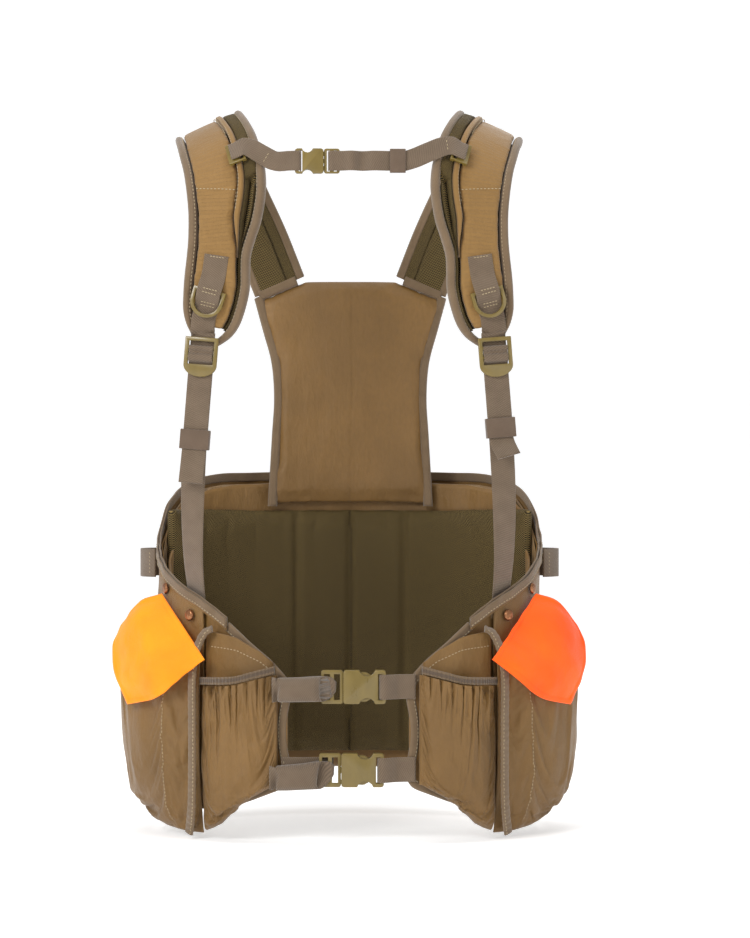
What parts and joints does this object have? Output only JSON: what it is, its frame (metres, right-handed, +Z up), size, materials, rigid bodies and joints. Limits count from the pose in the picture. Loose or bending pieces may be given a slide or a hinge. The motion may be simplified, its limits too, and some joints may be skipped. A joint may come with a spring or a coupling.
{
  "type": "strap vest",
  "caption": "Strap-type field vest: padded shoulder straps, sternum strap, wrap-round game bag, front and side pockets, blaze flaps and two waist straps with side-release buckles.",
  "frame": {"origin": "midway between the shoulder straps, at the level where they rest on the wearer's shoulders", "axes": "+Z up, the wearer faces -Y, +X to the wearer's left"},
  "size_m": [0.497, 0.3447, 0.7499],
  "materials": {
    "face_fabric": "smooth woven, low sheen",
    "shell_fabric": "coated woven, slight sheen",
    "lining_mesh": "open spacer mesh, matt",
    "foam": "closed-cell foam, matt",
    "binding_tape": "woven binding tape, matt",
    "webbing": "woven webbing, matt",
    "elastic": "ribbed elastic, matt",
    "blaze_fabric": "blaze orange, matt",
    "buckle_plastic": "moulded, fine texture",
    "snap_metal": "polished"
  },
  "bodies": {
    "harness": {"strap_mesh_lining_right": "lining_mesh", "strap_foam_right": "foam", "strap_face_right": "face_fabric", "strap_piping_right": "face_fabric", "strap_binding_right": "binding_tape", "anchor_webbing_right": "webbing", "adjuster_webbing_right": "webbing", "adjuster_keeper_right": "elastic", "strap_mesh_lining_left": "lining_mesh", "strap_foam_left": "foam", "strap_face_left": "face_fabric", "strap_piping_left": "face_fabric", "strap_binding_left": "binding_tape", "anchor_webbing_left": "webbing", "adjuster_webbing_left": "webbing", "adjuster_keeper_left": "elastic", "waist_upper_buckle_female": "buckle_plastic", "waist_upper_webbing_left": "webbing", "waist_upper_webbing_right": "webbing", "waist_lower_buckle_female": "buckle_plastic", "waist_lower_webbing_left": "webbing", "waist_lower_webbing_right": "webbing", "game_bag": "shell_fabric", "bag_rim_binding": "binding_tape", "back_panel": "shell_fabric", "back_yoke": "shell_fabric", "side_panel_right": "shell_fabric", "rear_pouch_right": "shell_fabric", "front_pouch_right": "shell_fabric", "pouch_elastic_right": "elastic", "cargo_pocket_right": "shell_fabric", "seam_binding_right": "binding_tape", "side_loop_right": "webbing", "snap_rear_right": "snap_metal", "snap_front_right": "snap_metal", "side_panel_left": "shell_fabric", "rear_pouch_left": "shell_fabric", "front_pouch_left": "shell_fabric", "pouch_elastic_left": "elastic", "cargo_pocket_left": "shell_fabric", "seam_binding_left": "binding_tape", "side_loop_left": "webbing", "snap_rear_left": "snap_metal", "snap_front_left": "snap_metal"},
    "sternum_strap": {"sternum_buckle_female": "buckle_plastic", "sternum_slider_right": "buckle_plastic", "sternum_webbing_right": "webbing", "sternum_webbing_left": "webbing", "sternum_keeper": "elastic"},
    "sternum_clip_left": {"sternum_slider_left": "buckle_plastic"},
    "sternum_male": {"sternum_buckle_male": "buckle_plastic"},
    "waist_upper_male": {"waist_upper_buckle_male": "buckle_plastic"},
    "waist_lower_male": {"waist_lower_buckle_male": "buckle_plastic"},
    "d_ring_right": {"d_ring_right": "buckle_plastic"},
    "ladder_lock_right": {"ladder_lock_right": "buckle_plastic"},
    "blaze_flap_right": {"blaze_flap_right": "blaze_fabric"},
    "d_ring_left": {"d_ring_left": "buckle_plastic"},
    "ladder_lock_left": {"ladder_lock_left": "buckle_plastic"},
    "blaze_flap_left": {"blaze_flap_left": "blaze_fabric"}
  },
  "joints": [
    {"name": "sternum_height", "type": "slide", "parent": "harness", "child": "sternum_strap", "axis": [-0.2185, 0.5665, 0.7945], "range_m": [-0.014, 0.0015], "deforming": ["sternum_webbing_left", "sternum_keeper"]},
    {"name": "sternum_height_left", "type": "slide", "parent": "harness", "child": "sternum_clip_left", "axis": [0.2185, 0.5665, 0.7945], "range_m": [-0.014, 0.0015], "deforming": ["sternum_webbing_left"]},
    {"name": "sternum_release", "type": "slide", "parent": "sternum_strap", "child": "sternum_male", "axis": [1, 0, 0], "range_m": [0, 0.02], "deforming": ["sternum_webbing_left"]},
    {"name": "waist_upper_release", "type": "slide", "parent": "harness", "child": "waist_upper_male", "axis": [-1, 0, 0], "range_m": [0, 0.034], "deforming": ["waist_upper_webbing_right"]},
    {"name": "waist_lower_release", "type": "slide", "parent": "harness", "child": "waist_lower_male", "axis": [-1, 0, 0], "range_m": [0, 0.034], "deforming": ["waist_lower_webbing_right"]},
    {"name": "d_ring_swing_right", "type": "hinge", "parent": "harness", "child": "d_ring_right", "pos_m": [-0.13946, -0.13613, -0.14589], "axis": [-0.9476, 0.1594, 0.2767], "range_deg": [0, 140], "deforming": ["anchor_webbing_right"]},
    {"name": "ladder_lock_tilt_right", "type": "hinge", "parent": "harness", "child": "ladder_lock_right", "pos_m": [-0.148, -0.134, -0.2025], "axis": [-0.9824, 0.1695, 0.0786], "range_deg": [0, 30], "deforming": ["anchor_webbing_right", "adjuster_webbing_right", "adjuster_keeper_right"]},
    {"name": "blaze_flap_lift_right", "type": "hinge", "parent": "harness", "child": "blaze_flap_right", "pos_m": [-0.146, -0.118, -0.518], "axis": [-0.4432, 0.6741, 0.5909], "range_deg": [0, 95]},
    {"name": "d_ring_swing_left", "type": "hinge", "parent": "harness", "child": "d_ring_left", "pos_m": [0.13946, -0.13613, -0.14589], "axis": [-0.9476, -0.1594, -0.2767], "range_deg": [0, 140], "deforming": ["anchor_webbing_left"]},
    {"name": "ladder_lock_tilt_left", "type": "hinge", "parent": "harness", "child": "ladder_lock_left", "pos_m": [0.148, -0.134, -0.2025], "axis": [-0.9824, -0.1695, -0.0786], "range_deg": [0, 30], "deforming": ["anchor_webbing_left", "adjuster_webbing_left", "adjuster_keeper_left"]},
    {"name": "blaze_flap_lift_left", "type": "hinge", "parent": "harness", "child": "blaze_flap_left", "pos_m": [0.146, -0.118, -0.518], "axis": [-0.4432, -0.6741, -0.5909], "range_deg": [0, 95]}
  ],
  "couplings": [
    {"joint": "sternum_height_left", "follows": "sternum_height", "ratio": 1}
  ]
}
